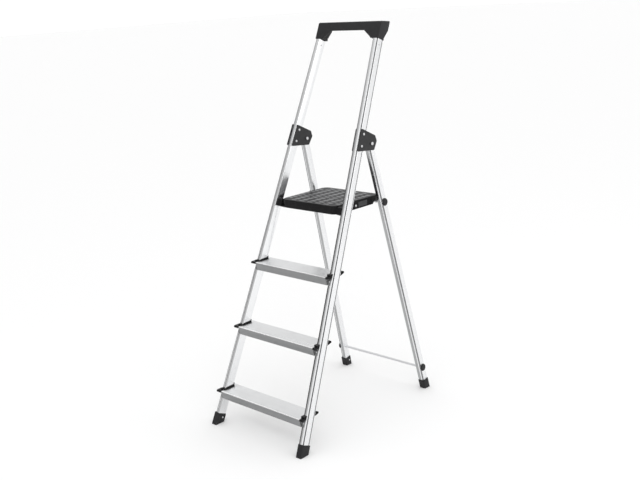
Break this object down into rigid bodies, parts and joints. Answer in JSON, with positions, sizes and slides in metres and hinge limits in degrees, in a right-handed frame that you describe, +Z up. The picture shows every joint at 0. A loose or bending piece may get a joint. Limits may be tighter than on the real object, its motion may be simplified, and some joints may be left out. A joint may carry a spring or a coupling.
{
  "type": "platform step ladder",
  "caption": "Folding platform step ladder: leaning extruded stiles with flat treads, moulded platform, grab tray on top and a hinged rear frame.",
  "frame": {"origin": "on the floor, at the middle of the open ladder's stance", "axes": "+Z up, +Y from the treads' front towards the rear frame, +X to the right of a climber who faces the treads"},
  "size_m": [0.494, 0.7876, 1.5],
  "materials": {
    "extruded_aluminium": "satin mill finish",
    "tread_aluminium": "satin, finely ribbed",
    "platform_plastic": "grained",
    "tray_plastic": "fine grain",
    "hinge_plate_plastic": "satin",
    "foot_rubber": "matt",
    "clip_plastic": "satin",
    "cap_plastic": "satin",
    "bush_nylon": "smooth",
    "bright_steel": "bright zinc"
  },
  "bodies": {
    "front_frame": {"clip_lower_left": "clip_plastic", "clip_lower_right": "clip_plastic", "clip_middle_left": "clip_plastic", "clip_middle_right": "clip_plastic", "clip_upper_left": "clip_plastic", "clip_upper_right": "clip_plastic", "foot_front_left": "foot_rubber", "foot_front_right": "foot_rubber", "foot_screws_front": "bright_steel", "hinge_pins": "bright_steel", "hinge_plate_inner_left": "hinge_plate_plastic", "hinge_plate_inner_right": "hinge_plate_plastic", "hinge_plate_outer_left": "hinge_plate_plastic", "hinge_plate_outer_right": "hinge_plate_plastic", "hinge_rivets": "bright_steel", "pivot_block_left": "clip_plastic", "pivot_block_right": "clip_plastic", "platform_pins": "bright_steel", "stile_left": "extruded_aluminium", "stile_right": "extruded_aluminium", "tray": "tray_plastic", "tray_rivets": "bright_steel", "tread_lower": "tread_aluminium", "tread_middle": "tread_aluminium", "tread_rivets": "bright_steel", "tread_upper": "tread_aluminium"},
    "rear_frame": {"rear_leg_left": "extruded_aluminium", "rear_leg_right": "extruded_aluminium", "foot_rear_left": "foot_rubber", "foot_rear_right": "foot_rubber", "foot_screws_rear": "bright_steel", "platform_rod": "extruded_aluminium", "lower_brace": "extruded_aluminium", "rod_cap_left": "cap_plastic", "rod_cap_right": "cap_plastic", "brace_cap_left": "cap_plastic", "brace_cap_right": "cap_plastic", "hinge_bushes": "bush_nylon"},
    "platform": {"platform_deck": "platform_plastic", "platform_stiffener": "extruded_aluminium", "platform_side_rivets": "bright_steel"}
  },
  "joints": [
    {"name": "rear_fold", "type": "hinge", "parent": "front_frame", "child": "rear_frame", "pos_m": [0, 0.1481, 1.057], "axis": [-1, 0, 0], "range_deg": [0, 32]},
    {"name": "platform_fold", "type": "hinge", "parent": "front_frame", "child": "platform", "pos_m": [0, -0.0094, 0.829], "axis": [1, 0, 0], "range_deg": [0, 64]}
  ],
  "couplings": [
    {"joint": "platform_fold", "follows": "rear_fold", "ratio": 2}
  ]
}
